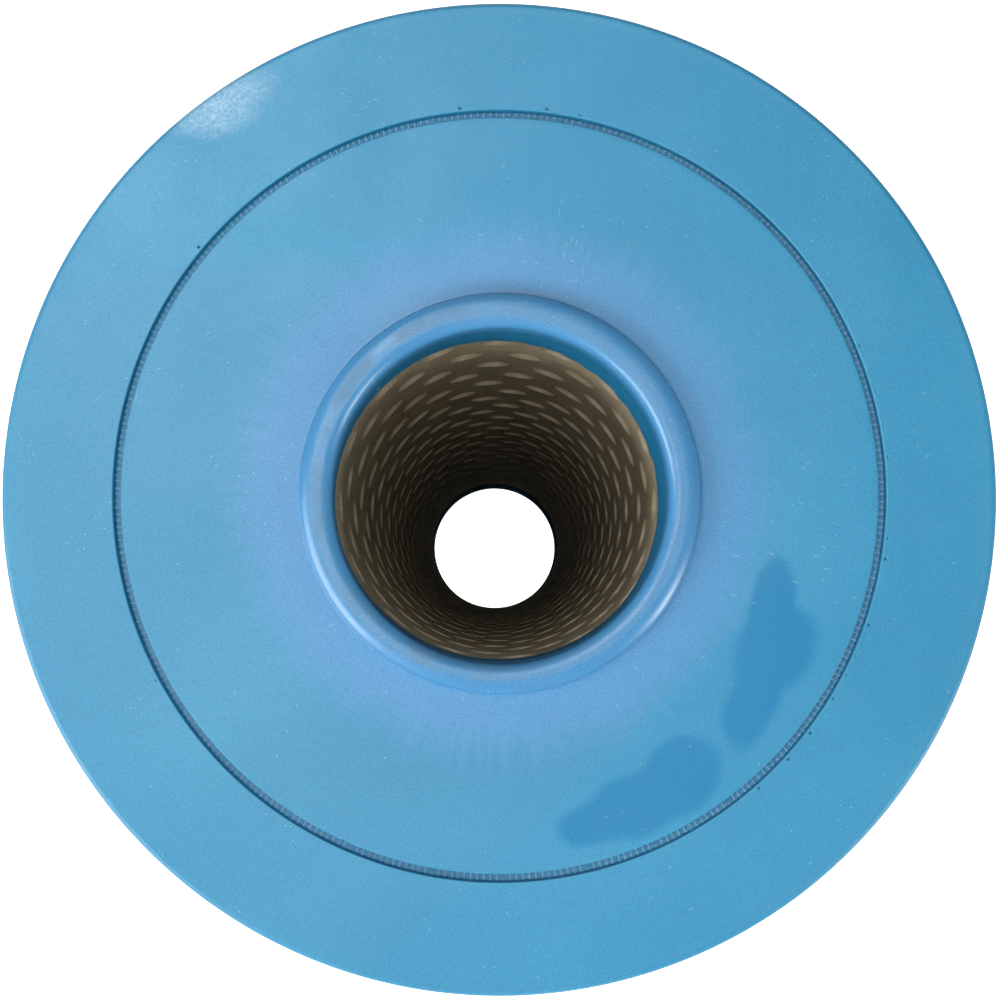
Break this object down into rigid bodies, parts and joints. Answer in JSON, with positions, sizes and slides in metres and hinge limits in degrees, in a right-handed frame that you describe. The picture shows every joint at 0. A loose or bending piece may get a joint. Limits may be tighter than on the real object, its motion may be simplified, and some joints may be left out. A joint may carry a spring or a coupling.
{
  "type": "pleated filter cartridge",
  "caption": "Tall pleated filter cartridge with blue cast end caps, a raised sealing bead round the open bore at each end, and a perforated core tube.",
  "frame": {"origin": "on the cartridge's axis, at the height of the bottom sealing bead it stands on", "axes": "+Z runs along the axis from the bottom cap to the top cap, out of the top port; X and Y are radial and alike"},
  "size_m": [0.227, 0.227, 0.603],
  "materials": {
    "end_cap": "cast resin, fine matte grain, light blue",
    "core": "moulded, brown-grey, satin",
    "filter_fabric": "calendered spun-bonded polyester, white",
    "seam": "heat-welded polyester fin, slightly glazed",
    "band": "flat polyester band, glued to the pleat tips"
  },
  "bodies": {
    "root": {"top_cap": "end_cap", "bottom_cap": "end_cap", "core_tube": "core", "filter_media": "filter_fabric", "media_seam": "seam", "band_1": "band", "band_2": "band", "band_3": "band", "band_4": "band", "band_5": "band"}
  },
  "joints": []
}
